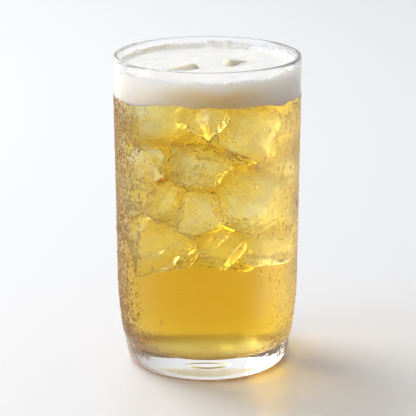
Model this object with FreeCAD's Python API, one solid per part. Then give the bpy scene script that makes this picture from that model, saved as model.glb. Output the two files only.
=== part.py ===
"""A tall glass of iced oolong tea with a head of foam, modelled in millimetres.

The glass is one revolved solid with a heavy base.  The tea fills it up to an uneven
boundary and the foam lies on the tea.  Two blocks of ice float side by side, each with
one edge up through the foam, and the tea and the foam fit round them face to face.  The
origin is the centre of the foot, on the surface that the glass stands on, and +Z runs up
the glass.
"""

import FreeCAD
import Part

import math
import os

Vector = FreeCAD.Vector

# --- glass -------------------------------------------------------------------------
HEIGHT = 125.0  # foot to rim
RIM_DIAMETER = 73.5  # outside, at the rim
WAIST_DIAMETER = 72.2  # outside, where the straight wall turns in to the heel
WAIST_HEIGHT = 35.0
WALL = 1.9
HEEL_RADIUS = 164.0  # the long soft curve between waist and foot
FOOT_RADIUS = 4.4  # the round under the heel
FLOOR_THICKNESS = 8.1  # solid glass under the tea, at the corner of the floor
FLOOR_CORNER_RADIUS = 12.0
FLOOR_CROWN = 0.7  # the middle of the floor stands this much higher
PUNT_DEPTH = 1.5  # hollow of the underside
PUNT_INSET = 1.0  # width of the flat ring that the glass stands on
MOULD_RING_RADIUS = 5.4  # round mark that the plunger leaves under the base
MOULD_RING_BEAD = 0.45
SEAM_BEARING = -80.0  # where the turned surfaces of glass, tea and foam start and end

# --- tea and foam ------------------------------------------------------------------
FOAM_DROP = 4.5  # rim down to the foam
FOAM_THICKNESS = 9.2  # at the middle
FOAM_SIDE_HANG = 2.6  # the foam reaches this much lower at the left and right wall
FOAM_TOP_SWELL = 0.15  # height of the lumps on the foam
FOAM_BASE_SWELL = 0.8  # height of the waves where foam meets tea
SWELL_LENGTH = 31.0  # distance between waves
SURFACE_GRID = 15  # points each way across an uneven surface

# --- floating ice ------------------------------------------------------------------
ICE_LINE = 28.0  # bearing of the line on which the two blocks lie
ICE_LENGTH = 1.12  # a block's length over its width
ICE_DRAFT = 0.9  # the narrow end of a block over its wide end
ICE_EDGE_ROUND = 3.2
ICE_EDGE_ABOVE_FOAM = 2.2  # the highest point stands this far above the foam
ICE_WALL_GAP = 1.0  # tea between a block and the glass
ICE_MIDDLE_GAP = 0.8  # tea between the two blocks
ICE_TURNS = {
    # name: (bearing from the axis, roll about its length, pitch of its inner end, yaw)
    "ice_block_left": (ICE_LINE + 180.0, 41.0, 8.0, -14.0),
    "ice_block_right": (ICE_LINE, 50.0, 9.0, 12.0),
}


def unit(angle):
    """A direction in the XZ plane, in degrees from +X towards +Z."""
    return Vector(math.cos(math.radians(angle)), 0, math.sin(math.radians(angle)))


def arc(centre, radius, start, end):
    """An arc in the XZ plane between two angles."""
    middle = (start + end) / 2
    points = [centre + unit(angle) * radius for angle in (start, middle, end)]
    return Part.Arc(*points).toShape()


def line(start, end):
    return Part.LineSegment(start, end).toShape()


def revolved(edges):
    """The solid swept by a closed outline in the XZ plane turned about the Z axis.

    The sweep starts at SEAM_BEARING, so that its seam runs clear of both blocks of ice.
    """
    axis = (Vector(0, 0, 0), Vector(0, 0, 1))
    face = Part.Face(Part.Wire(Part.__sortEdges__(edges)))
    face.rotate(*axis, SEAM_BEARING)
    return face.revolve(*axis, 360)


def wall_lean():
    """How far the straight wall leans out from the vertical, in degrees."""
    reach = (RIM_DIAMETER - WAIST_DIAMETER) / 2
    return math.degrees(math.atan2(reach, HEIGHT - WAIST_HEIGHT))


def wall_ends(inset):
    """Top and waist of the wall's outside (inset 0) or inside (inset WALL)."""
    inward = unit(-wall_lean()) * inset
    top = Vector(RIM_DIAMETER / 2, 0, HEIGHT) - inward
    waist = Vector(WAIST_DIAMETER / 2, 0, WAIST_HEIGHT) - inward
    return top, waist


def heel(inset, corner_radius, floor_height):
    """The heel's long arc, the small round below it and the point where that meets a level floor.

    The arc is tangent to the wall, and the inside arc has the same centre as the outside one.
    """
    lean = wall_lean()
    radius = HEEL_RADIUS - inset
    centre = wall_ends(0)[1] - unit(-lean) * HEEL_RADIUS
    rise = floor_height + corner_radius - centre.z
    corner = centre + Vector(math.sqrt((radius - corner_radius) ** 2 - rise**2), 0, rise)
    join = math.degrees(math.atan2(rise, corner.x - centre.x))
    edges = [arc(centre, radius, join, -lean), arc(corner, corner_radius, -90, join)]
    return edges, Vector(corner.x, 0, floor_height)


def crown(edge_point, rise):
    """An arc from edge_point to the axis, and its end there, which is rise higher."""
    reach = edge_point.x
    radius = (reach**2 + rise**2) / (2 * rise)
    centre = Vector(0, 0, edge_point.z + rise - radius)
    start = math.degrees(math.asin((radius - rise) / radius))
    return arc(centre, radius, start, 90), Vector(0, 0, edge_point.z + rise)


def inside_floor():
    """The inside below the waist, and the middle of the floor."""
    edges, floor_edge = heel(WALL, FLOOR_CORNER_RADIUS, FLOOR_THICKNESS)
    floor, middle = crown(floor_edge, FLOOR_CROWN)
    return [*edges, floor], middle


def make_glass():
    """The tumbler: round lip, straight wall, soft heel, thick floor and hollow foot."""
    outer_top, outer_waist = wall_ends(0)
    inner_top, inner_waist = wall_ends(WALL)
    lip_drop = unit(90 - wall_lean()) * (WALL / 2)
    lip_outer = outer_top - lip_drop
    lip_inner = inner_top - lip_drop
    lip = Part.Arc(lip_outer, (outer_top + inner_top) * 0.5, lip_inner).toShape()
    outer_heel, foot_edge = heel(0, FOOT_RADIUS, 0)
    punt_edge = foot_edge - Vector(PUNT_INSET, 0, 0)
    punt, punt_middle = crown(punt_edge, PUNT_DEPTH)
    inner_floor, floor_middle = inside_floor()
    glass = revolved([
        line(lip_outer, outer_waist),
        *outer_heel,
        line(foot_edge, punt_edge),
        punt,
        line(punt_middle, floor_middle),
        *inner_floor,
        line(inner_waist, lip_inner),
        lip,
    ])
    ring_height = PUNT_DEPTH * (1 - (MOULD_RING_RADIUS / punt_edge.x) ** 2)
    ring_centre = Vector(0, 0, ring_height)
    ring = Part.makeTorus(MOULD_RING_RADIUS, MOULD_RING_BEAD, ring_centre, Vector(0, 0, 1))
    return glass.fuse(ring).removeSplitter()


def make_cavity():
    """Everything inside the glass, level with its rim."""
    top, waist = wall_ends(WALL)
    floor, floor_middle = inside_floor()
    top_middle = Vector(0, 0, top.z)
    return revolved([line(top, waist), *floor, line(floor_middle, top_middle), line(top_middle, top)])


def swell(x, y, height, shift):
    """Height of a gentle uneven surface above its mean."""
    turn = 2 * math.pi / SWELL_LENGTH
    waves = (
        math.sin(turn * (x + 0.45 * y) + shift)
        + 0.7 * math.sin(turn * (1.3 * y - 0.5 * x) + 2.1 * shift)
        + 0.4 * math.cos(turn * (1.9 * x + 1.1 * y) + 0.6 * shift)
    )
    return height * waves / 2.1


def foam_top(x, y):
    return HEIGHT - FOAM_DROP + swell(x, y, FOAM_TOP_SWELL, 2.4)


def foam_base(x, y):
    """Where foam meets tea: lifted by the ice in the middle and hanging at both sides."""
    share = x / (RIM_DIAMETER / 2 - WALL)
    level = HEIGHT - FOAM_DROP - FOAM_THICKNESS - FOAM_SIDE_HANG * share**4
    return level + swell(x, y, FOAM_BASE_SWELL, 0.8)


def space_below(surface_height):
    """The solid under an uneven surface, a little wider than the glass."""
    half = max(RIM_DIAMETER, WAIST_DIAMETER) * 0.52
    steps = [half * (2 * index / (SURFACE_GRID - 1) - 1) for index in range(SURFACE_GRID)]
    surface = Part.BSplineSurface()
    surface.interpolate([[Vector(x, y, surface_height(x, y)) for y in steps] for x in steps])
    return surface.toShape().extrude(Vector(0, 0, -HEIGHT))


def turned_block(width, roll, pitch, yaw):
    """A block with its length along +X, sloped sides and melted edges, turned about its centre."""
    def cross_section(x, share):
        half = width / 2 * share
        corners = [Vector(x, -half, -half), Vector(x, half, -half), Vector(x, half, half), Vector(x, -half, half)]
        return Part.makePolygon([*corners, corners[0]])

    half_length = width * ICE_LENGTH / 2
    ends = [cross_section(-half_length, 1), cross_section(half_length, ICE_DRAFT)]
    block = Part.makeLoft(ends, True, True)
    block = block.makeFillet(ICE_EDGE_ROUND, block.Edges)
    for axis, angle in ((Vector(1, 0, 0), roll), (Vector(0, 1, 0), pitch), (Vector(0, 0, 1), yaw)):
        block.rotate(Vector(0, 0, 0), axis, angle)
    return block


def inner_radius(z):
    """The inside of the glass at a height above its waist."""
    top, waist = wall_ends(WALL)
    return waist.x + (top.x - waist.x) * (z - waist.z) / (top.z - waist.z)


def ice_block(bearing, roll, pitch, yaw):
    """The widest block that fits its own half of the glass with the two gaps.

    Its highest point stands ICE_EDGE_ABOVE_FOAM above the foam.
    """
    def placed(width):
        block = turned_block(width, roll, pitch, yaw)
        points = block.tessellate(0.1)[0]
        out = ICE_MIDDLE_GAP / 2 - min(point.x for point in points)
        up = HEIGHT - FOAM_DROP + ICE_EDGE_ABOVE_FOAM - max(point.z for point in points)
        room = min(inner_radius(p.z + up) - math.hypot(p.x + out, p.y) for p in points)
        block.translate(Vector(out, 0, up))
        return block, room

    small, large = 4 * ICE_EDGE_ROUND, RIM_DIAMETER / 2
    while large - small > 0.01:
        width = (small + large) / 2
        if placed(width)[1] > ICE_WALL_GAP:
            small = width
        else:
            large = width
    block = placed(small)[0]
    block.rotate(Vector(0, 0, 0), Vector(0, 0, 1), bearing)
    return block


def make_contents():
    """The two blocks of ice, and the tea and foam that fit round them."""
    blocks = {name: ice_block(*turns) for name, turns in ICE_TURNS.items()}
    cavity = make_cavity()
    tea_space = space_below(foam_base)
    tea = cavity.common(tea_space)
    foam = cavity.common(space_below(foam_top)).cut(tea_space)
    for block in blocks.values():
        tea = tea.cut(block)
        foam = foam.cut(block)
    return {"tea": tea, "foam": foam, **blocks}


def main():
    os.makedirs("parts", exist_ok=True)
    for name, shape in {"glass": make_glass(), **make_contents()}.items():
        print(name, len(shape.Solids), "solid", round(shape.Volume / 1000, 2), "ml", shape.isValid())
        shape.Solids[0].exportStep(f"parts/{name}.step")


main()
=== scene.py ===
"""The looks of a tall glass of iced oolong tea with a head of foam, in metres."""

import math

import bmesh
import bpy
from mathutils import Matrix, Vector, noise
from mathutils.bvhtree import BVHTree


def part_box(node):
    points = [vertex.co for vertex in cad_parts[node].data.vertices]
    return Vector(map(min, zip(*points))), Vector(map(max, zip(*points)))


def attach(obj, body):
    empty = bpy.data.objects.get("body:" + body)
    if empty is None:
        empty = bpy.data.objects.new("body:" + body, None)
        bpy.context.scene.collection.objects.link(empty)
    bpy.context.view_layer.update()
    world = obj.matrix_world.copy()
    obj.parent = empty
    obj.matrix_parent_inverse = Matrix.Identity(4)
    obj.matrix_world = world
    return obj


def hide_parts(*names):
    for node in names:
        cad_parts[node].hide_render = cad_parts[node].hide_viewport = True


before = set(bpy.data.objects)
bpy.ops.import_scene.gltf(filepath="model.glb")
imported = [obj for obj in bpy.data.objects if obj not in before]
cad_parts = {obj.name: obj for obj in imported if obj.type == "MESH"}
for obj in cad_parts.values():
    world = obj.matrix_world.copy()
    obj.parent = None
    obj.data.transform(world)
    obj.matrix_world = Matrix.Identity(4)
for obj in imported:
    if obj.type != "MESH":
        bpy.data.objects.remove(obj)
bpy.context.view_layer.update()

scene = bpy.context.scene
MM = 0.001

# --- studio ------------------------------------------------------------------------
# A pale, slightly shiny table in a bright room, with three soft windows at the left, two
# of them behind.  The room is darker overhead, in front and at the right, which draws the
# edges of the glass.

CAMERA_DISTANCE = 650 * MM
CAMERA_HEIGHT_ANGLE = 0.295
VIEWED_POINT = Vector((0.26, 0.0, 62.1)) * MM
LENS = 140.3

camera_data = bpy.data.cameras.new("camera")
camera_data.lens = LENS
camera_data.sensor_width = 36.0
camera_data.clip_start = 0.01
camera = bpy.data.objects.new("camera", camera_data)
camera_side = Vector((0.0, -math.cos(CAMERA_HEIGHT_ANGLE), math.sin(CAMERA_HEIGHT_ANGLE)))
camera.location = VIEWED_POINT + camera_side * CAMERA_DISTANCE
camera.rotation_euler = (math.pi / 2 - CAMERA_HEIGHT_ANGLE, 0.0, 0.0)
scene.collection.objects.link(camera)
scene.camera = camera


def new_material(name):
    """A new material, its emptied node tree and the tree's output node."""
    material = bpy.data.materials.new(name)
    material.use_nodes = True
    tree = material.node_tree
    tree.nodes.clear()
    output = tree.nodes.new("ShaderNodeOutputMaterial")
    return material, tree, output


def add_node(tree, kind, **inputs):
    """A node of a shader tree with its plain inputs set.  A name's _ stands for a space."""
    node = tree.nodes.new("ShaderNode" + kind)
    for name, value in inputs.items():
        node.inputs[name.replace("_", " ")].default_value = value
    return node


def link_nodes(tree, *pairs):
    """Links output to input for each pair, both given as (node, socket name)."""
    for (source, output_name), (target, input_name) in pairs:
        tree.links.new(source.outputs[output_name], target.inputs[input_name])


def ramp(tree, low, high, start, end, kind="SMOOTHSTEP"):
    """A ramp of a value, from start at low to end at high, smooth or LINEAR."""
    node = add_node(tree, "MapRange", From_Min=low, From_Max=high, To_Min=start, To_Max=end)
    node.interpolation_type = kind
    return node


def arithmetic(tree, operation, value=0.0):
    """A maths node whose second input is value."""
    node = add_node(tree, "Math")
    node.operation = operation
    node.inputs[1].default_value = value
    return node


TABLE_HALF = 2.5
TABLE_COLOUR = (0.875, 0.885, 0.905, 1)
TABLE_ROUGHNESS = 0.30

table_mesh = bpy.data.meshes.new("table")
corners = [(-1, -1), (1, -1), (1, 1), (-1, 1)]
corners = [(x * TABLE_HALF, y * TABLE_HALF, 0) for x, y in corners]
table_mesh.from_pydata(corners, [], [(0, 1, 2, 3)])
table = bpy.data.objects.new("table", table_mesh)
scene.collection.objects.link(table)
table_paint, tree, output = new_material("table_paint")
paint = add_node(tree, "BsdfPrincipled", Base_Color=TABLE_COLOUR, Roughness=TABLE_ROUGHNESS)
link_nodes(tree, ((paint, "BSDF"), (output, "Surface")))
table_mesh.materials.append(table_paint)

# The room: brightness by direction, from the dark front right to the bright back left.
ROOM_COLOUR = (0.985, 0.99, 1.0, 1)
ROOM_DARK = 0.34
ROOM_BRIGHT = 0.95
CEILING_SHARE = 0.35  # how bright it is overhead, as a share of the brightness at the side
BRIGHT_SIDE = Vector((-0.76, 0.54, 0.35)).normalized()

world = bpy.data.worlds.new("room")
world.use_nodes = True
scene.world = world
tree = world.node_tree
tree.nodes.clear()
direction = add_node(tree, "TexCoord")
towards = add_node(tree, "VectorMath")
towards.operation = "DOT_PRODUCT"
towards.inputs[1].default_value = BRIGHT_SIDE
level = ramp(tree, -0.5, 0.9, ROOM_DARK, ROOM_BRIGHT)
split = add_node(tree, "SeparateXYZ")
ceiling = ramp(tree, 0.5, 0.85, 1.0, CEILING_SHARE)
strength = arithmetic(tree, "MULTIPLY")
background = add_node(tree, "Background", Color=ROOM_COLOUR)
world_output = tree.nodes.new("ShaderNodeOutputWorld")
link_nodes(
    tree,
    ((direction, "Generated"), (towards, 0)),
    ((towards, "Value"), (level, "Value")),
    ((direction, "Generated"), (split, "Vector")),
    ((split, "Z"), (ceiling, "Value")),
    ((level, "Result"), (strength, 0)),
    ((ceiling, "Result"), (strength, 1)),
    ((strength, "Value"), (background, "Strength")),
    ((background, "Background"), (world_output, "Surface")),
)


def add_lamp(name, place, size, power):
    """A square soft lamp that faces the middle of the glass."""
    data = bpy.data.lights.new(name, "AREA")
    data.shape = "RECTANGLE"
    data.size, data.size_y = size
    data.energy = power
    lamp = bpy.data.objects.new(name, data)
    lamp.location = place
    aim = VIEWED_POINT - Vector(place)
    lamp.rotation_euler = aim.to_track_quat("-Z", "Y").to_euler()
    scene.collection.objects.link(lamp)


add_lamp("window", (-0.62, 0.55, 1.45), (0.6, 0.6), 12.0)
add_lamp("back_window", (-1.45, 1.65, 0.80), (1.7, 1.3), 17.0)
add_lamp("side_window", (-1.15, -0.20, 0.50), (0.8, 0.8), 6.0)

scene.view_settings.view_transform = "Standard"

# Many bounces, since light passes a dozen surfaces on its way through glass, tea and ice.
scene.cycles.max_bounces = 64
scene.cycles.transmission_bounces = 64
scene.cycles.glossy_bounces = 12
scene.cycles.diffuse_bounces = 6
scene.cycles.transparent_max_bounces = 16
scene.cycles.volume_bounces = 2
scene.cycles.use_denoising = True
scene.cycles.blur_glossy = 0.0
scene.cycles.sample_clamp_indirect = 6.0

# --- glass -------------------------------------------------------------------------
# A pressed tumbler of clear soda glass: a straight wall with a fire-polished lip, a long
# soft heel and a thick floor.  The plunger leaves a round mark in the hollow foot.

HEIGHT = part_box("glass")[1][2]
RIM_RADIUS = 36.75 * MM
WAIST_RADIUS = 36.1 * MM
WAIST_HEIGHT = 35.0 * MM
WALL = 1.9 * MM
HEEL_RADIUS = 164.0 * MM
FOOT_RADIUS = 4.4 * MM
FLOOR_THICKNESS = 8.1 * MM
FLOOR_CORNER_RADIUS = 12.0 * MM
FLOOR_CROWN = 0.7 * MM
PUNT_DEPTH = 1.5 * MM
PUNT_INSET = 1.0 * MM
MOULD_RING_RADIUS = 5.4 * MM
MOULD_RING_HALF_WIDTH = 0.7 * MM
MOULD_RING_HEIGHT = 0.45 * MM
ROUND_STEPS = 192  # around the glass
GLASS_IOR = 1.5
MIRROR = 0.35  # how much of the head-on reflections it keeps
MIST_ROUGHNESS = 0.26
MIST_VEIL = 0.16  # how much light the mist scatters at the right

LEAN = math.atan2(RIM_RADIUS - WAIST_RADIUS, HEIGHT - WAIST_HEIGHT)


def spread(start, end, count):
    """count + 1 even steps from start to end."""
    return [start + (end - start) * index / count for index in range(count + 1)]


def arc(centre, radius, start, end, count):
    """Points (radius from the axis, height) along an arc, angles from outwards to upwards."""
    return [centre + Vector((math.cos(a), math.sin(a))) * radius for a in spread(start, end, count)]


def wall_point(inset, height):
    """A point of the straight wall, inset from its outside."""
    outside = WAIST_RADIUS + (height - WAIST_HEIGHT) * math.tan(LEAN)
    return Vector((outside - inset / math.cos(LEAN), height))


def heel_centre():
    """Centre of the long arc of the heel, as distance from the axis and height."""
    outward = Vector((math.cos(LEAN), -math.sin(LEAN)))
    return Vector((WAIST_RADIUS, WAIST_HEIGHT)) - outward * HEEL_RADIUS


def heel(inset, corner_radius, floor_height):
    """The long arc of the heel from the waist down, then the small round to a level floor."""
    centre = heel_centre()
    radius = HEEL_RADIUS - inset
    rise = floor_height + corner_radius - centre.y
    corner = centre + Vector((math.sqrt((radius - corner_radius) ** 2 - rise**2), rise))
    join = math.atan2(rise, corner.x - centre.x)
    long_arc = arc(centre, radius, -LEAN, join, 28)
    return long_arc + arc(corner, corner_radius, join, -math.pi / 2, 12)[1:]


def crown(edge, rise, count):
    """Points from the edge of a shallow dome to the axis, which is rise higher."""
    return [Vector((edge.x * (1 - s), edge.y + rise * (1 - (1 - s) ** 2))) for s in spread(0, 1, count)][1:]


def outside_line():
    """The outside from the lip down to the middle of the hollow foot."""
    wall = [wall_point(0, height) for height in spread(HEIGHT - WALL / 2, WAIST_HEIGHT, 24)]
    foot = heel(0, FOOT_RADIUS, 0)
    punt_edge = foot[-1] - Vector((PUNT_INSET, 0))
    punt = [punt_edge, *crown(punt_edge, PUNT_DEPTH, 60)]
    for point in punt:
        off = (point.x - MOULD_RING_RADIUS) / MOULD_RING_HALF_WIDTH
        point.y -= MOULD_RING_HEIGHT * math.exp(-off * off)
    return [*wall[:-1], *foot, *punt]


def inside_line(inset):
    """The inside from the waist down to the middle of the floor."""
    reach = WALL - inset  # how far the line lies inside the glass
    line = heel(inset, FLOOR_CORNER_RADIUS + reach, FLOOR_THICKNESS - reach)
    return line + crown(line[-1], FLOOR_CROWN, 16)


def revolve(line, steps=ROUND_STEPS):
    """A closed mesh of a line that starts and ends on the axis."""
    turned = bmesh.new()
    rings = []
    for radius, height in line:
        if radius < 1e-7:
            rings.append([turned.verts.new((0, 0, height))])
            continue
        angles = [2 * math.pi * index / steps for index in range(steps)]
        spots = [(radius * math.cos(a), radius * math.sin(a), height) for a in angles]
        rings.append([turned.verts.new(spot) for spot in spots])
    for upper, lower in zip(rings, rings[1:]):
        for index in range(steps):
            following = (index + 1) % steps
            corners = [upper[index % len(upper)], lower[index % len(lower)]]
            corners += [lower[following % len(lower)], upper[following % len(upper)]]
            turned.faces.new(list(dict.fromkeys(corners)))
    return turned


def finish_piece(name, shape, material, replaced=()):
    bmesh.ops.recalc_face_normals(shape, faces=shape.faces)
    mesh = bpy.data.meshes.new(name)
    shape.to_mesh(mesh)
    shape.free()
    mesh.polygons.foreach_set("use_smooth", [True] * len(mesh.polygons))
    mesh.materials.append(material)
    piece = bpy.data.objects.new(name, mesh)
    scene.collection.objects.link(piece)
    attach(piece, "root")
    if replaced:
        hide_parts(*replaced)
    return piece


def clear_material(name, ior, roughness, mirror=1.0):
    """A clear material, its tree and its shader.  mirror is the share of reflection kept."""
    material, tree, output = new_material(name)
    shader = add_node(
        tree, "BsdfPrincipled", Base_Color=(1, 1, 1, 1), IOR=ior, Roughness=roughness,
        Transmission_Weight=1.0, Specular_Tint=(mirror, mirror, mirror, 1),
    )
    link_nodes(tree, ((shader, "BSDF"), (output, "Surface")))
    return material, tree, shader


lip = arc(Vector((wall_point(WALL / 2, HEIGHT).x, HEIGHT - WALL / 2)), WALL / 2, math.pi, 0, 14)
inner_wall = [wall_point(WALL, height) for height in spread(WAIST_HEIGHT, HEIGHT - WALL / 2, 24)]
glass_line = list(reversed(inside_line(WALL))) + inner_wall[1:-1] + lip + outside_line()[1:]
glass_line[0].x = glass_line[-1].x = 0.0
# Mist on the outside, left and right and not on the clean heel: it blurs and pales a little.
glass_material, tree, shader = clear_material("soda_glass", GLASS_IOR, 0.0, MIRROR)
place = add_node(tree, "TexCoord")
split = add_node(tree, "SeparateXYZ")
flat = add_node(tree, "VectorMath")
flat.operation = "MULTIPLY"
flat.inputs[1].default_value = (1, 1, 0)
from_axis = add_node(tree, "VectorMath")
from_axis.operation = "LENGTH"
outer_face = ramp(tree, RIM_RADIUS - WALL + 0.2 * MM, RIM_RADIUS - WALL + 0.5 * MM, 0.0, 1.0)
on_right = ramp(tree, 9 * MM, 24 * MM, 0.0, 1.0)
on_left = ramp(tree, -14 * MM, -33 * MM, 0.0, 0.10)
at_side = arithmetic(tree, "ADD")
above_heel = ramp(tree, 18 * MM, 32 * MM, 0.0, 1.0)
below_foam = ramp(tree, 112 * MM, 106 * MM, 0.0, 1.0)
patches = add_node(tree, "TexNoise", Scale=85.0, Detail=5.0)
patchy = ramp(tree, 0.3, 0.62, 0.35, 1.0)
product = [arithmetic(tree, "MULTIPLY") for _ in range(4)]
haze = arithmetic(tree, "MULTIPLY", MIST_ROUGHNESS)
pale = ramp(tree, 0.0, 26 * MM, 0.0, MIST_VEIL)
paled = arithmetic(tree, "MULTIPLY")
clear = arithmetic(tree, "SUBTRACT")
clear.inputs[0].default_value = 1.0
# The mould left the thick foot a little rippled, left and right.
ripples = add_node(tree, "TexNoise", Scale=210.0, Detail=2.0, Distortion=1.2)
sideways = arithmetic(tree, "ABSOLUTE")
rippled_side = ramp(tree, 17 * MM, 26 * MM, 0.0, 1.0)
rippled_foot = ramp(tree, 13 * MM, 8 * MM, 0.0, 0.5)
rippled = arithmetic(tree, "MULTIPLY")
foot_bump = add_node(tree, "Bump", Distance=0.0008)
# Painted shade: the wall's colour is darkened to grey where it is seen edge-on, which draws the dark edges
# of the glass.
grazing = add_node(tree, "LayerWeight", Blend=0.5)
painted_edge_shade = ramp(tree, 0.78, 0.97, 1.0, 0.45)
link_nodes(
    tree,
    ((grazing, "Facing"), (painted_edge_shade, "Value")),
    ((painted_edge_shade, "Result"), (shader, "Base Color")),
    ((place, "Object"), (ripples, "Vector")),
    ((split, "X"), (sideways, 0)),
    ((sideways, "Value"), (rippled_side, "Value")),
    ((split, "Z"), (rippled_foot, "Value")),
    ((rippled_side, "Result"), (rippled, 0)),
    ((rippled_foot, "Result"), (rippled, 1)),
    ((rippled, "Value"), (foot_bump, "Strength")),
    ((ripples, "Fac"), (foot_bump, "Height")),
    ((foot_bump, "Normal"), (shader, "Normal")),
    ((place, "Object"), (split, "Vector")),
    ((place, "Object"), (flat, 0)),
    ((place, "Object"), (patches, "Vector")),
    ((flat, "Vector"), (from_axis, 0)),
    ((from_axis, "Value"), (outer_face, "Value")),
    ((split, "X"), (on_right, "Value")),
    ((split, "X"), (on_left, "Value")),
    ((on_right, "Result"), (at_side, 0)),
    ((on_left, "Result"), (at_side, 1)),
    ((split, "Z"), (above_heel, "Value")),
    ((split, "Z"), (below_foam, "Value")),
    ((patches, "Fac"), (patchy, "Value")),
    ((outer_face, "Result"), (product[0], 0)),
    ((at_side, "Value"), (product[0], 1)),
    ((product[0], "Value"), (product[1], 0)),
    ((above_heel, "Result"), (product[1], 1)),
    ((product[1], "Value"), (product[2], 0)),
    ((below_foam, "Result"), (product[2], 1)),
    ((product[2], "Value"), (product[3], 0)),
    ((patchy, "Result"), (product[3], 1)),
    ((product[3], "Value"), (haze, 0)),
    ((haze, "Value"), (shader, "Roughness")),
    ((split, "X"), (pale, "Value")),
    ((pale, "Result"), (paled, 0)),
    ((product[3], "Value"), (paled, 1)),
    ((paled, "Value"), (clear, 1)),
    ((clear, "Value"), (shader, "Transmission Weight")),
)
# Painted shade: the lip's colour is darkened to grey where it is seen edge-on, which draws its outline.
lip_glass, tree, shader = clear_material("lip_glass", GLASS_IOR, 0.0, MIRROR)
grazing = add_node(tree, "LayerWeight", Blend=0.5)
painted_lip_outline = ramp(tree, 0.10, 0.60, 1.0, 0.33)
link_nodes(
    tree,
    ((grazing, "Facing"), (painted_lip_outline, "Value")),
    ((painted_lip_outline, "Result"), (shader, "Base Color")),
)
glass_shape = revolve(glass_line)
inner_rows = len(inside_line(WALL)) + len(inner_wall) - 2  # rows of faces up to the lip

# --- tea ---------------------------------------------------------------------------
# Cold oolong tea, golden and clear, poured over the ice.  It reaches a hair's breadth into
# the wall, so that no air shows between them, and it has a hollow for each piece of ice.

TEA_IOR = 1.333
TEA_COLOUR = (0.94, 0.814, 0.057, 1)
TEA_DENSITY = 70.0
WALL_OVERLAP = 0.06 * MM
FOAM_DROP = 4.5 * MM
FOAM_THICKNESS = 9.2 * MM
FOAM_SIDE_HANG = 2.6 * MM
FOAM_BASE_SWELL = 0.8 * MM
FOAM_BASE_RAG = 1.0 * MM
SWELL_LENGTH = 31.0 * MM


def swell(x, y, height, shift):
    """Height of the gentle uneven surfaces of the foam above their mean."""
    turn = 2 * math.pi / SWELL_LENGTH
    waves = math.sin(turn * (x + 0.45 * y) + shift)
    waves += 0.7 * math.sin(turn * (1.3 * y - 0.5 * x) + 2.1 * shift)
    waves += 0.4 * math.cos(turn * (1.9 * x + 1.1 * y) + 0.6 * shift)
    return height * waves / 2.1


def foam_base(x, y):
    """Where foam meets tea, ragged where it shows at the wall."""
    share = x / (RIM_RADIUS - WALL)
    level = HEIGHT - FOAM_DROP - FOAM_THICKNESS - FOAM_SIDE_HANG * share**4
    bearing = math.atan2(y, x)
    round_wall = Vector((math.cos(bearing), math.sin(bearing), 0.3))
    ragged = noise.noise(round_wall * 4.5) + 0.45 * noise.noise(round_wall * 15)
    ragged += 0.25 * noise.noise(round_wall * 40)
    ragged *= (math.hypot(x, y) / (RIM_RADIUS - WALL)) ** 4
    return level + swell(x, y, FOAM_BASE_SWELL, 0.8) + FOAM_BASE_RAG * ragged


def lift_rings(shape, floor_height, old_top, new_top):
    """Stretches what stands above floor_height so that old_top comes to new_top(x, y)."""
    for vert in shape.verts:
        share = (vert.co.z - floor_height) / (old_top - floor_height)
        if share > 0:
            vert.co.z += share * (new_top(vert.co.x, vert.co.y) - old_top)


# The inside of the glass bends light less where tea lies against it.  Near the floor it is
# uneven, which blurs what lies behind, and it ripples at both sides.
wetted_glass, tree, shader = clear_material("wetted_glass", GLASS_IOR / TEA_IOR, 0.0, MIRROR)
place = add_node(tree, "TexCoord")
split = add_node(tree, "SeparateXYZ")
near_floor = ramp(tree, 30 * MM, 15 * MM, 0.0, 0.48)
ripples = add_node(tree, "TexNoise", Scale=420.0, Detail=3.0)
sideways = arithmetic(tree, "ABSOLUTE")
at_sides = ramp(tree, 11 * MM, 21 * MM, 0.0, 1.0)
at_corner = ramp(tree, 22 * MM, 15 * MM, 0.0, 1.0)
rippled = arithmetic(tree, "MULTIPLY")
bump = add_node(tree, "Bump", Distance=0.0006)
link_nodes(
    tree,
    ((place, "Object"), (split, "Vector")),
    ((place, "Object"), (ripples, "Vector")),
    ((split, "Z"), (near_floor, "Value")),
    ((near_floor, "Result"), (shader, "Roughness")),
    ((split, "X"), (sideways, 0)),
    ((sideways, "Value"), (at_sides, "Value")),
    ((split, "Z"), (at_corner, "Value")),
    ((at_sides, "Result"), (rippled, 0)),
    ((at_corner, "Result"), (rippled, 1)),
    ((rippled, "Value"), (bump, "Strength")),
    ((ripples, "Fac"), (bump, "Height")),
    ((bump, "Normal"), (shader, "Normal")),
)
# The revolved line starts inside, so the first faces are those of the inside.
glass_shape.faces.ensure_lookup_table()
for face in glass_shape.faces[: inner_rows * ROUND_STEPS]:
    middle = face.calc_center_median()
    height = min(vert.co.z for vert in face.verts)
    face.material_index = int(height < foam_base(middle.x, middle.y))
for face in glass_shape.faces:
    if face.calc_center_median().z > HEIGHT - WALL / 2:
        face.material_index = 2
tumbler = finish_piece("tumbler", glass_shape, glass_material, ["glass"])
tumbler.data.materials.append(wetted_glass)
tumbler.data.materials.append(lip_glass)

TEA_OVER = 0.3 * MM  # the tea reaches this far up into the foam
tea_top = HEIGHT - FOAM_DROP - FOAM_THICKNESS
tea_wall = [wall_point(WALL - WALL_OVERLAP, height) for height in spread(tea_top, WAIST_HEIGHT, 24)]
tea_cap = [Vector((tea_wall[0].x * share, tea_top)) for share in spread(0, 1, 24)]
tea_line = tea_cap[:-1] + tea_wall[:-1] + inside_line(WALL - WALL_OVERLAP)
tea_line[-1].x = 0.0
tea_shape = revolve(tea_line)
lift_rings(tea_shape, WAIST_HEIGHT, tea_top, lambda x, y: foam_base(x, y) + TEA_OVER)
bmesh.ops.recalc_face_normals(tea_shape, faces=tea_shape.faces)

# --- ice ---------------------------------------------------------------------------
# Blocks of machine-made ice, melting: angular chunks with rounded edges, crinkled faces
# and cloudy patches.  Two float with an edge up through the foam, the rest lie sunk
# below them, wedged against each other and the wall.

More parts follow.
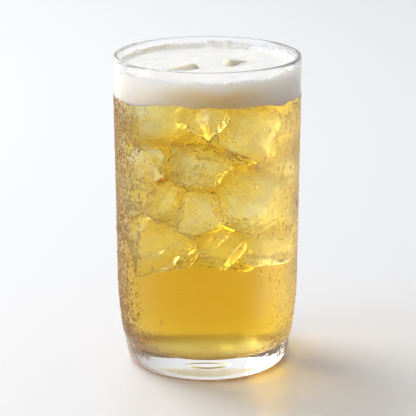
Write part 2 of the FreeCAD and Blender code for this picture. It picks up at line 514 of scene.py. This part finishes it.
ICE_VOXEL = 0.8 * MM
BACK_ICE_VOXEL = 1.1 * MM
ICE_ROUNDING = 7  # passes that soften the edges
ICE_OVERLAP = 0.07 * MM  # how far the tea reaches into the ice
ICE_DRAFT = 0.9  # one end of a block as a share of the other
ICE_GAP = 0.35 * MM  # from a block to the cut between it and its neighbour
ICE_REACH = 33.5 * MM  # from the axis
ICE_BELOW_FOAM = 0.9 * MM
WALL_CUTS = 24  # flat cuts that stand for the round wall
NEIGHBOUR_REACH = 45 * MM  # blocks further apart than this never touch
MELT_DEPTH = 0.45  # in mm, like the two below
MELT_HOLLOWS = 0.9
CRINKLE_DEPTH = 1.9
MELT_FADE = 3 * MM  # melting fades out over this height below the foam's top
FOAM_TOP_SWELL = 0.15 * MM
# Middle and size in mm, then turns about X, Y and Z in degrees.
FRONT_ICE = [
    ((14.5, -20.0, 98.5), (21.0, 18.0, 20.0), (24, 12, 27)),
    ((0.5, -26.5, 105.5), (12.0, 13.0, 15.0), (8, 42, 12)),
    ((-3.0, -20.0, 86.0), (22.0, 20.0, 13.5), (16, 7, 41)),
    ((14.0, -15.5, 71.5), (25.0, 22.0, 25.0), (18, 14, 36)),
    ((-3.0, -23.5, 69.0), (19.0, 14.0, 19.0), (24, 22, 12)),
    ((-15.5, -13.5, 54.0), (25.0, 22.0, 19.0), (22, -16, -24)),
    ((5.5, -25.5, 54.5), (13.0, 11.0, 15.5), (14, 36, 18)),
    ((21.0, -10.0, 51.5), (22.0, 21.0, 13.5), (8, 6, 30)),
    ((-24.0, -8.5, 73.0), (15.0, 20.0, 19.0), (10, -22, -16)),
    ((-14.0, -19.0, 71.0), (13.0, 13.0, 18.0), (32, 24, 48)),
    ((-21.0, -17.5, 86.0), (13.0, 13.0, 12.0), (35, 15, 25)),
]
BACK_ICE = [
    ((-14.0, 21.0, 103.0), (19.0, 17.0, 16.0), (15, 30, 40)),
    ((3.0, 23.0, 86.0), (20.0, 17.0, 20.0), (28, 18, 10)),
    ((-20.0, 13.0, 80.0), (18.0, 20.0, 20.0), (12, 34, -20)),
    ((22.0, 12.0, 78.0), (18.0, 20.0, 17.0), (22, -14, 24)),
    ((0.0, 2.0, 80.0), (20.0, 18.0, 17.0), (30, 12, 52)),
    ((-6.0, 18.0, 62.0), (21.0, 19.0, 20.0), (18, 22, -35)),
    ((15.0, 17.0, 59.0), (20.0, 19.0, 20.0), (36, 12, 15)),
    ((-3.0, 0.0, 59.0), (17.0, 16.0, 19.0), (20, 40, 30)),
    ((-22.0, 8.0, 58.0), (15.0, 17.0, 17.0), (10, 25, -10)),
    ((2.0, 10.0, 45.0), (22.0, 19.0, 12.0), (12, 14, 22)),
]


def ice_core(place, size, turns):
    """A block with sloped sides, turned and put in its place."""
    core = bmesh.new()
    bmesh.ops.create_cube(core, size=1.0)
    for vert in core.verts:
        share = ICE_DRAFT if vert.co.x > 0 else 1.0
        x, y, z = vert.co
        vert.co = Vector((x * size[0], y * size[1] * share, z * size[2] * share)) * MM
    turn = Matrix.Identity(3)
    for axis, angle in zip("XYZ", turns):
        turn = Matrix.Rotation(math.radians(angle), 3, axis) @ turn
    placed = Matrix.Translation(Vector(place) * MM) @ turn.to_4x4()
    bmesh.ops.transform(core, matrix=placed, verts=core.verts)
    return core


def cut_off(block, point, outward):
    """Takes away what lies beyond a plane and closes the cut."""
    whole = [*block.verts, *block.edges, *block.faces]
    cut = bmesh.ops.bisect_plane(
        block, geom=whole, plane_co=point, plane_no=outward, clear_outer=True,
    )
    edges = [item for item in cut["geom_cut"] if isinstance(item, bmesh.types.BMEdge)]
    if edges:
        bmesh.ops.contextual_create(block, geom=edges)


def even_skin(core, voxel):
    """The closed shape again, with a skin of even small faces and softened edges."""
    mesh = bpy.data.meshes.new("core")
    core.to_mesh(mesh)
    core.free()
    holder = bpy.data.objects.new("core", mesh)
    scene.collection.objects.link(holder)
    remesh = holder.modifiers.new("skin", "REMESH")
    remesh.mode = "VOXEL"
    remesh.voxel_size = voxel
    smooth = holder.modifiers.new("smooth", "SMOOTH")
    smooth.factor = 0.5
    smooth.iterations = ICE_ROUNDING
    evaluated = holder.evaluated_get(bpy.context.evaluated_depsgraph_get())
    skinned = bpy.data.meshes.new_from_object(evaluated)
    bpy.data.objects.remove(holder)
    shape = bmesh.new()
    shape.from_mesh(skinned)
    return shape


def foam_top(x, y):
    """Where the foam's top lies, before its lumps and folds."""
    return HEIGHT - FOAM_DROP + swell(x, y, FOAM_TOP_SWELL, 2.4)


def crinkle(shape, seed):
    """Melts a block's skin inwards: broad hollows, and patches of sharp crinkles."""
    shift = Vector((seed * 7.3, seed * 3.1, seed * 5.7))
    shape.normal_update()
    moves = []
    for vert in shape.verts:
        spot = vert.co / MM + shift
        broad = MELT_DEPTH + noise.noise(spot * 0.1) * MELT_HOLLOWS
        patch = min(1.0, max(0.0, noise.noise(spot * 0.08 + Vector((31, 7, 5))) * 2.2 + 0.35))
        ridges = abs(noise.noise(spot * 0.30)) * CRINKLE_DEPTH
        depth = max(0.0, broad) + patch * ridges
        depth *= min(1.0, max(0.0, (foam_top(vert.co.x, vert.co.y) - vert.co.z) / MELT_FADE))
        moves.append(vert.normal * -depth * MM)
    for vert, move in zip(shape.verts, moves):
        vert.co += move
    shape.normal_update()


def merged(shapes):
    """One bmesh that holds all the shapes."""
    whole = bmesh.new()
    for shape in shapes:
        mesh = bpy.data.meshes.new("part")
        shape.to_mesh(mesh)
        whole.from_mesh(mesh)
    return whole


def grown(shape, distance):
    """A copy of a shape whose skin stands further out, or in."""
    copy = shape.copy()
    copy.normal_update()
    moves = [vert.normal * distance for vert in copy.verts]
    for vert, move in zip(copy.verts, moves):
        vert.co += move
    return copy


def node_shape(name):
    """The CAD node's shape with its loose triangles joined."""
    shape = bmesh.new()
    shape.from_mesh(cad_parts[name].data)
    bmesh.ops.remove_doubles(shape, verts=shape.verts, dist=1e-6)
    return shape


ICE_IOR = 1.07  # relative to the tea round it
ICE_COLOUR = (1.0, 0.985, 0.95, 1)

# Cloudy where the noise is high, with a frosted skin there.
ice_material, tree, shader = clear_material("ice", ICE_IOR, 0.0)
shader.inputs["Base Color"].default_value = ICE_COLOUR
place = add_node(tree, "TexCoord")
clouds = add_node(tree, "TexNoise", Scale=110.0, Detail=5.0, Roughness=0.6)
clearness = ramp(tree, 0.46, 0.72, 1.0, 0.78, "LINEAR")
frost = ramp(tree, 0.36, 0.66, 0.03, 0.35, "LINEAR")
crackle = add_node(tree, "TexNoise", Scale=300.0, Detail=4.0, Roughness=0.6)
bump = add_node(tree, "Bump", Strength=0.22, Distance=0.0003)
link_nodes(
    tree,
    ((place, "Object"), (clouds, "Vector")),
    ((place, "Object"), (crackle, "Vector")),
    ((clouds, "Fac"), (clearness, "Value")),
    ((clouds, "Fac"), (frost, "Value")),
    ((clearness, "Result"), (shader, "Transmission Weight")),
    ((frost, "Result"), (shader, "Roughness")),
    ((crackle, "Fac"), (bump, "Height")),
    ((bump, "Normal"), (shader, "Normal")),
)

floating = {}
for name in ("ice_block_left", "ice_block_right"):
    floating[name] = even_skin(node_shape(name), ICE_VOXEL)
floating_near = [BVHTree.FromBMesh(shape) for shape in floating.values()]

sunk_ice = FRONT_ICE + BACK_ICE
sunk = []
for number, (spot, size, turns) in enumerate(sunk_ice):
    middle = Vector(spot) * MM
    block = ice_core(spot, size, turns)
    for other_spot, other_size, _ in sunk_ice:
        other = Vector(other_spot) * MM
        apart = other - middle
        if 0 < apart.length < NEIGHBOUR_REACH:
            # The larger block keeps more of the way between the two.
            lead = (sum(size) ** 2 - sum(other_size) ** 2) / 36 * MM**2 / apart.length**2 / 2
            share = min(0.75, max(0.25, 0.5 + lead))
            towards = apart.normalized()
            cut_off(block, middle + apart * share - towards * ICE_GAP, towards)
    for near in floating_near:
        closest = near.find_nearest(middle)[0]
        away = (middle - closest).normalized()
        cut_off(block, closest + away * ICE_GAP * 2, -away)
    for step in range(WALL_CUTS):
        angle = 2 * math.pi * step / WALL_CUTS
        outward = Vector((math.cos(angle), math.sin(angle), 0))
        cut_off(block, outward * ICE_REACH, outward)
    top = foam_base(middle.x, middle.y) - ICE_BELOW_FOAM
    cut_off(block, Vector((0, 0, top)), Vector((0, 0, 1)))
    skin = even_skin(block, ICE_VOXEL if number < len(FRONT_ICE) else BACK_ICE_VOXEL)
    crinkle(skin, number)
    sunk.append(skin)
for number, shape in enumerate(floating.values()):
    crinkle(shape, 40 + number)

# The hollows in the tea, a little smaller than the ice, with their faces turned inwards.
HOLLOW_BELOW_FOAM = 0.2 * MM
cavities = []
for shape in [*floating.values(), *sunk]:
    cavity = grown(shape, -ICE_OVERLAP)
    for vert in cavity.verts:
        vert.co.z = min(vert.co.z, foam_base(vert.co.x, vert.co.y) - HOLLOW_BELOW_FOAM)
    bmesh.ops.recalc_face_normals(cavity, faces=cavity.faces)
    bmesh.ops.reverse_faces(cavity, faces=cavity.faces)
    cavities.append(cavity)

tea_material, tree, shader = clear_material("oolong_tea", 1.0, 0.0)
absorb = add_node(tree, "VolumeAbsorption", Color=TEA_COLOUR, Density=TEA_DENSITY)
link_nodes(tree, ((absorb, "Volume"), (tree.nodes["Material Output"], "Volume")))
tea_mesh = bpy.data.meshes.new("tea")
merged([tea_shape, *cavities]).to_mesh(tea_mesh)
tea_mesh.polygons.foreach_set("use_smooth", [True] * len(tea_mesh.polygons))
tea_mesh.materials.append(tea_material)
tea = bpy.data.objects.new("oolong_tea", tea_mesh)
scene.collection.objects.link(tea)
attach(tea, "root")
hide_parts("tea")

# The edges that stand out of the foam are wet with it, pale and hardly clear.
DRY_ICE_IOR = 1.31
DRY_ICE_COLOUR = (1.0, 0.84, 0.66, 1)
DRY_ICE_GLOW = 1.2 * MM  # how far light spreads under its skin
DRY_ICE_START = 0.5 * MM  # below the foam's top
dry_ice, tree, shader = clear_material("ice_above_foam", DRY_ICE_IOR, 0.18)
shader.inputs["Base Color"].default_value = DRY_ICE_COLOUR
shader.inputs["Transmission Weight"].default_value = 0.10
shader.inputs["Subsurface Weight"].default_value = 1.0
shader.inputs["Subsurface Radius"].default_value = (DRY_ICE_GLOW, DRY_ICE_GLOW, DRY_ICE_GLOW)
shader.inputs["Subsurface Scale"].default_value = 1.0
for name, shape in floating.items():
    for face in shape.faces:
        middle = face.calc_center_median()
        face.material_index = int(middle.z > foam_top(middle.x, middle.y) - DRY_ICE_START)
    block = finish_piece("floating_" + name, shape, ice_material, [name])
    block.data.materials.append(dry_ice)
finish_piece("sunk_ice", merged(sunk), ice_material)

# --- foam --------------------------------------------------------------------------
# A dense head of very fine bubbles from shaking the tea, cream above and stained by the tea below,
# with painted golden shade there.  It floats round the ice and climbs a little where it clings to the
# glass.

FOAM_CREAM = (0.94, 0.925, 0.895, 1)
# The lower colour is partly the tea's stain and partly painted golden light and shade.
FOAM_STAIN_AND_SHADE = (0.86, 0.71, 0.38, 1)
FOAM_GLOW = (6.5 * MM, 5.2 * MM, 3.2 * MM)  # how far red, green and blue light spread in it
FOAM_CLIMB = 2.4 * MM
FOAM_CLIMB_WIDTH = 1.6 * MM
FOAM_LUMP = 0.35 * MM
FOAM_FOLD = 0.25 * MM
FOAM_ICE_CLIMB = 0.15 * MM
FOAM_ICE_WIDTH = 1.7 * MM
FOAM_STEPS = 256

foam_radius = wall_point(WALL - WALL_OVERLAP, HEIGHT - FOAM_DROP).x


def foam_skin(x, y):
    """Top of the foam with its lumps, folds and the climbs at the glass and at the ice."""
    spot = Vector((x, y, 0)) / MM
    lumps = noise.noise(spot * 0.16) + 0.5 * noise.noise(spot * 0.45)
    lumps += 0.2 * noise.noise(spot * 1.3)
    folds = 1 - abs(noise.noise(Vector((spot.x * 0.05, spot.y * 0.16, 4)))) * 4
    bearing = math.atan2(y, x)
    ragged = 0.55 + 0.45 * math.sin(bearing + 0.5)
    ragged += 0.5 * noise.noise(Vector((math.cos(bearing), math.sin(bearing), 2)) * 3)
    ragged += 0.35 * noise.noise(Vector((math.cos(bearing), math.sin(bearing), 5)) * 14)
    gap = foam_radius - math.hypot(x, y)
    climb = FOAM_CLIMB * max(0.0, ragged) * math.exp(-((gap / FOAM_CLIMB_WIDTH) ** 2))
    level = foam_top(x, y)
    for near in floating_near:
        to_ice = near.find_nearest(Vector((x, y, level)))[3]
        climb += FOAM_ICE_CLIMB * math.exp(-((to_ice / FOAM_ICE_WIDTH) ** 2))
    return level + FOAM_LUMP * lumps + FOAM_FOLD * max(0.0, folds) + climb


foam_heights = spread(HEIGHT - FOAM_DROP, tea_top, 14)
foam_edge = [wall_point(WALL - WALL_OVERLAP, height) for height in foam_heights]
foam_line = []
for share in spread(0, 1, 72)[:-1]:
    foam_line.append(Vector((foam_edge[0].x * (1 - (1 - share) ** 1.4), foam_edge[0].y)))
foam_line += foam_edge
foam_line += [Vector((foam_edge[-1].x * share, foam_edge[-1].y)) for share in spread(1, 0, 30)[1:]]
foam_shape = revolve(foam_line, FOAM_STEPS)
for vert in foam_shape.verts:
    share = (vert.co.z - tea_top) / (HEIGHT - FOAM_DROP - tea_top)
    x, y = vert.co.x, vert.co.y
    low = foam_base(x, y)
    vert.co.z = low + share * (foam_skin(x, y) - low)
foam_material, tree, output = new_material("foam")
shader = add_node(
    tree, "BsdfPrincipled", Roughness=0.55, Subsurface_Weight=0.8, Subsurface_Radius=FOAM_GLOW,
    Subsurface_Scale=1.0,
)

# Tea stain and painted light: golden the deeper a spot lies under the top, partly the tea's real stain and
# partly painted golden light from the tea below; and painted shade, least at the lit left and most a little
# right of the middle.
place = add_node(tree, "TexCoord")
split = add_node(tree, "SeparateXYZ")
blotches = add_node(tree, "TexNoise", Scale=70.0, Detail=4.0)
blotch_height = ramp(tree, 0.3, 0.7, -1.5 * MM, 1.5 * MM)
painted_shade_from_left = ramp(tree, -30 * MM, 6 * MM, 0.12, 1.0)
painted_shade_to_right = ramp(tree, 29 * MM, 7 * MM, 0.0, 1.0)
sideways = arithmetic(tree, "MULTIPLY")
strength = arithmetic(tree, "MULTIPLY")
level = arithmetic(tree, "ADD")
stain = ramp(tree, HEIGHT - FOAM_DROP - 0.5 * MM, HEIGHT - FOAM_DROP - 6.5 * MM, 0.0, 1.0)
stain_and_shade = add_node(tree, "Mix")
stain_and_shade.data_type = "RGBA"
stain_and_shade.inputs[6].default_value = FOAM_CREAM
stain_and_shade.inputs[7].default_value = FOAM_STAIN_AND_SHADE
froth = add_node(tree, "TexVoronoi", Scale=1500.0)
bump = add_node(tree, "Bump", Strength=0.5, Distance=0.00025)
link_nodes(
    tree,
    ((place, "Object"), (split, "Vector")),
    ((place, "Object"), (blotches, "Vector")),
    ((blotches, "Fac"), (blotch_height, "Value")),
    ((split, "X"), (painted_shade_from_left, "Value")),
    ((split, "X"), (painted_shade_to_right, "Value")),
    ((painted_shade_from_left, "Result"), (sideways, 0)),
    ((painted_shade_to_right, "Result"), (sideways, 1)),
    ((split, "Z"), (level, 0)),
    ((blotch_height, "Result"), (level, 1)),
    ((level, "Value"), (stain, "Value")),
    ((stain, "Result"), (strength, 0)),
    ((sideways, "Value"), (strength, 1)),
    ((strength, "Value"), (stain_and_shade, 0)),
    ((stain_and_shade, 2), (shader, "Base Color")),
    ((place, "Object"), (froth, "Vector")),
    ((froth, "Distance"), (bump, "Height")),
    ((bump, "Normal"), (shader, "Normal")),
    ((shader, "BSDF"), (output, "Surface")),
)
finish_piece("foam_head", foam_shape, foam_material, ["foam"])

# --- dew ---------------------------------------------------------------------------
# Condensation of water on the cold glass: two bands of fine beads, at the left and the
# right where nobody held it, with a few larger drops among them.

DEW_TOP = 110.0 * MM
DEW_BOTTOM = 12.0 * MM
DEW_SINK = 0.02 * MM  # how far a bead's middle lies inwards of the face it sits on
WATER_IOR = 1.36  # a little above real water's
# Painted shade: the brown-gold colour of the left beads, for the tea-coloured shade they show.
PAINTED_TEA_SHADE = (0.80, 0.64, 0.40, 1)
BEAD_SEGMENTS = 6
BEAD_RINGS = 4
BEAD_SKEW = 1.6


def outside_radius(height):
    """The outside of the glass at a height above the round of its foot."""
    if height > WAIST_HEIGHT:
        return wall_point(0, height).x
    centre = heel_centre()
    return centre.x + math.sqrt(HEEL_RADIUS**2 - (height - centre.y) ** 2)


def damp_band(bearing, half_width, bottom, top, wetness, radius_at=outside_radius):
    """A patch of the glass with its attribute damp, 0 to 1, given by wetness(side, height)."""
    patch = bmesh.new()
    damp = patch.verts.layers.float.new("damp")
    rows = []
    for height in spread(bottom, top, 60):
        row = []
        for side in spread(-1, 1, 40):
            angle = math.radians(bearing + side * half_width)
            radius = radius_at(height) - DEW_SINK
            vert = patch.verts.new((radius * math.cos(angle), radius * math.sin(angle), height))
            vert[damp] = wetness(side, height)
            row.append(vert)
        rows.append(row)
    for lower, upper in zip(rows, rows[1:]):
        for index in range(len(lower) - 1):
            patch.faces.new((lower[index], lower[index + 1], upper[index + 1], upper[index]))
    return patch


def bead_tree():
    """Geometry Nodes that strew beads over a damp patch.  Density is beads tried per m2."""
    group = bpy.data.node_groups.new("beads", "GeometryNodeTree")
    group.interface.new_socket("Patch", in_out="INPUT", socket_type="NodeSocketGeometry")
    for name in (
        "Spacing", "Density", "Smallest", "Largest", "Height Over Width", "Thickness Over Width",
    ):
        group.interface.new_socket(name, in_out="INPUT", socket_type="NodeSocketFloat")
    group.interface.new_socket("Seed", in_out="INPUT", socket_type="NodeSocketInt")
    group.interface.new_socket("Material", in_out="INPUT", socket_type="NodeSocketMaterial")
    group.interface.new_socket("Beads", in_out="OUTPUT", socket_type="NodeSocketGeometry")
    source = group.nodes.new("NodeGroupInput")
    scatter = group.nodes.new("GeometryNodeDistributePointsOnFaces")
    scatter.distribute_method = "POISSON"
    damp = group.nodes.new("GeometryNodeInputNamedAttribute")
    damp.data_type = "FLOAT"
    damp.inputs["Name"].default_value = "damp"
    # A bead's Z follows the patch's normal, and its Y is turned upwards.
    upright = group.nodes.new("FunctionNodeAlignRotationToVector")
    upright.axis = "Y"
    upright.pivot_axis = "Z"
    upright.inputs["Vector"].default_value = (0, 0, 1)
    # A chance from 0 to 1, skewed so that small beads are commoner than large ones.
    chance = group.nodes.new("FunctionNodeRandomValue")
    skew = group.nodes.new("ShaderNodeMath")
    skew.operation = "POWER"
    skew.inputs[1].default_value = BEAD_SKEW
    size = group.nodes.new("ShaderNodeMapRange")
    shape = group.nodes.new("ShaderNodeCombineXYZ")
    shape.inputs["X"].default_value = 1.0
    sized = group.nodes.new("ShaderNodeVectorMath")
    sized.operation = "SCALE"
    bead = group.nodes.new("GeometryNodeMeshUVSphere")
    bead.inputs["Segments"].default_value = BEAD_SEGMENTS
    bead.inputs["Rings"].default_value = BEAD_RINGS
    bead.inputs["Radius"].default_value = 1.0
    strew = group.nodes.new("GeometryNodeInstanceOnPoints")
    real = group.nodes.new("GeometryNodeRealizeInstances")
    smooth = group.nodes.new("GeometryNodeSetShadeSmooth")
    paint = group.nodes.new("GeometryNodeSetMaterial")
    result = group.nodes.new("NodeGroupOutput")
    link_nodes(
        group,
        ((source, "Patch"), (scatter, "Mesh")),
        ((source, "Spacing"), (scatter, "Distance Min")),
        ((source, "Density"), (scatter, "Density Max")),
        ((source, "Seed"), (scatter, "Seed")),
        ((damp, "Attribute"), (scatter, "Density Factor")),
        ((scatter, "Rotation"), (upright, "Rotation")),
        ((source, "Seed"), (chance, "Seed")),
        ((chance, 1), (skew, 0)),
        ((skew, "Value"), (size, "Value")),
        ((source, "Smallest"), (size, "To Min")),
        ((source, "Largest"), (size, "To Max")),
        ((source, "Height Over Width"), (shape, "Y")),
        ((source, "Thickness Over Width"), (shape, "Z")),
        ((shape, "Vector"), (sized, 0)),
        ((size, "Result"), (sized, "Scale")),
        ((scatter, "Points"), (strew, "Points")),
        ((bead, "Mesh"), (strew, "Instance")),
        ((upright, "Rotation"), (strew, "Rotation")),
        ((sized, "Vector"), (strew, "Scale")),
        ((strew, "Instances"), (real, "Geometry")),
        ((real, "Geometry"), (smooth, "Geometry")),
        ((smooth, "Geometry"), (paint, "Geometry")),
        ((source, "Material"), (paint, "Material")),
        ((paint, "Geometry"), (result, "Beads")),
    )
    return group


beads = bead_tree()
water = clear_material("dew_water", WATER_IOR, 0.0, MIRROR)[0]
# Painted shade: the beads at the left get a brown-gold colour, standing in for the darker, tea-coloured
# light they show on the shaded side.
beads_painted_shade, tree, shader = clear_material("dew_over_tea", WATER_IOR, 0.0, MIRROR)
shader.inputs["Base Color"].default_value = PAINTED_TEA_SHADE


def strewn(name, patch, slot, **settings):
    """A piece of many beads: the tree run on a patch and turned into a plain mesh."""
    mesh = bpy.data.meshes.new(name)
    patch.to_mesh(mesh)
    patch.free()
    holder = bpy.data.objects.new(name, mesh)
    scene.collection.objects.link(holder)
    modifier = holder.modifiers.new("beads", "NODES")
    modifier.node_group = beads
    for item in beads.interface.items_tree:
        setting = item.name.replace(" ", "_")
        if setting in settings:
            modifier[item.identifier] = settings[setting]
    evaluated = holder.evaluated_get(bpy.context.evaluated_depsgraph_get())
    finished = bpy.data.meshes.new_from_object(evaluated)
    holder.modifiers.clear()
    holder.data = finished
    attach(holder, "root")


def bell(value, middle, width):
    """1 at the middle, falling softly to 0 over the width on both sides."""
    return math.exp(-(((value - middle) / width) ** 2))


def edge_damp(side, height):
    """Damp of the left and right patches: full in the middle, less towards their borders."""
    return min(1.0, 1.25 * bell(side, 0, 0.75)) * min(1.0, (DEW_TOP - height) / (2 * MM) + 0.3)


for name, bearing, half_width, spacing, share, seed, bead_material in (
    ("dew_left", 195, 29, 0.68, 1.0, 3, beads_painted_shade),
    ("dew_right", -14, 34, 0.85, 0.9, 8, water),
):
    patch = damp_band(
        bearing, half_width, DEW_BOTTOM, DEW_TOP,
        lambda side, height: share * edge_damp(side, height),
    )
    strewn(
        name, patch, "clear_glass", Spacing=spacing * MM, Density=3.2e6, Seed=seed,
        Smallest=0.22 * MM, Largest=0.50 * MM, Height_Over_Width=1.6, Thickness_Over_Width=0.7,
        Material=bead_material,
    )
for name, bearing, seed in (("drops_left", 200, 21), ("drops_right", -20, 24)):
    patch = damp_band(bearing, 40, DEW_BOTTOM, DEW_TOP - 2 * MM, edge_damp)
    strewn(
        name, patch, "clear_glass", Spacing=3.4 * MM, Density=0.06e6, Seed=seed,
        Smallest=0.45 * MM, Largest=0.95 * MM, Height_Over_Width=1.5, Thickness_Over_Width=0.55,
        Material=water,
    )

# --- edge bubbles ------------------------------------------------------------------
# Coarser froth: white bubbles packed along the edge of the foam, and smaller ones that
# stick to the inside of the glass where the foam has sunk away.

FROTH_WHITE = (0.93, 0.92, 0.90, 1)
BUBBLE_RING = 4.2 * MM  # width of the ring along the wall
BUBBLE_INSET = 0.3 * MM  # from the wall to the ring
RING_STEPS = 240
FILM_BOTTOM = HEIGHT - FOAM_DROP + 0.3 * MM
FILM_TOP = HEIGHT - 1.6 * MM

froth_white, tree, output = new_material("froth_white")
paint = add_node(tree, "BsdfPrincipled", Base_Color=FROTH_WHITE, Roughness=0.3)
link_nodes(tree, ((paint, "BSDF"), (output, "Surface")))
ring = bmesh.new()
damp = ring.verts.layers.float.new("damp")
inner_edge = wall_point(WALL, HEIGHT - FOAM_DROP).x - BUBBLE_INSET
circles = []
for share in spread(0, 1, 8):
    radius = inner_edge - BUBBLE_RING * share
    circle = []
    for angle in spread(0, 2 * math.pi, RING_STEPS)[:-1]:
        x, y = radius * math.cos(angle), radius * math.sin(angle)
        vert = ring.verts.new((x, y, foam_skin(x, y)))
        vert[damp] = (1 - share) ** 2.5
        circle.append(vert)
    circles.append(circle)
for outer, inner in zip(circles, circles[1:]):
    for index in range(RING_STEPS):
        following = (index + 1) % RING_STEPS
        ring.faces.new((inner[index], outer[index], outer[following], inner[following]))
strewn(
    "edge_bubbles", ring, "foam", Spacing=0.55 * MM, Density=3.0e6, Seed=31,
    Smallest=0.12 * MM, Largest=0.42 * MM, Height_Over_Width=1.0, Thickness_Over_Width=1.0,
    Material=froth_white,
)


def film_damp(side, height):
    """Bubbles of the film on the wall: full in its middle, none at its ends and top."""
    return bell(side, 0, 0.6) * max(0.0, 1 - (height - FILM_BOTTOM) / (FILM_TOP - FILM_BOTTOM))


film = damp_band(
    66, 52, FILM_BOTTOM, FILM_TOP, film_damp, lambda height: wall_point(WALL, height).x,
)
strewn(
    "film_bubbles", film, "foam", Spacing=0.55 * MM, Density=4.0e6, Seed=34,
    Smallest=0.10 * MM, Largest=0.34 * MM, Height_Over_Width=1.0, Thickness_Over_Width=0.7,
    Material=froth_white,
)
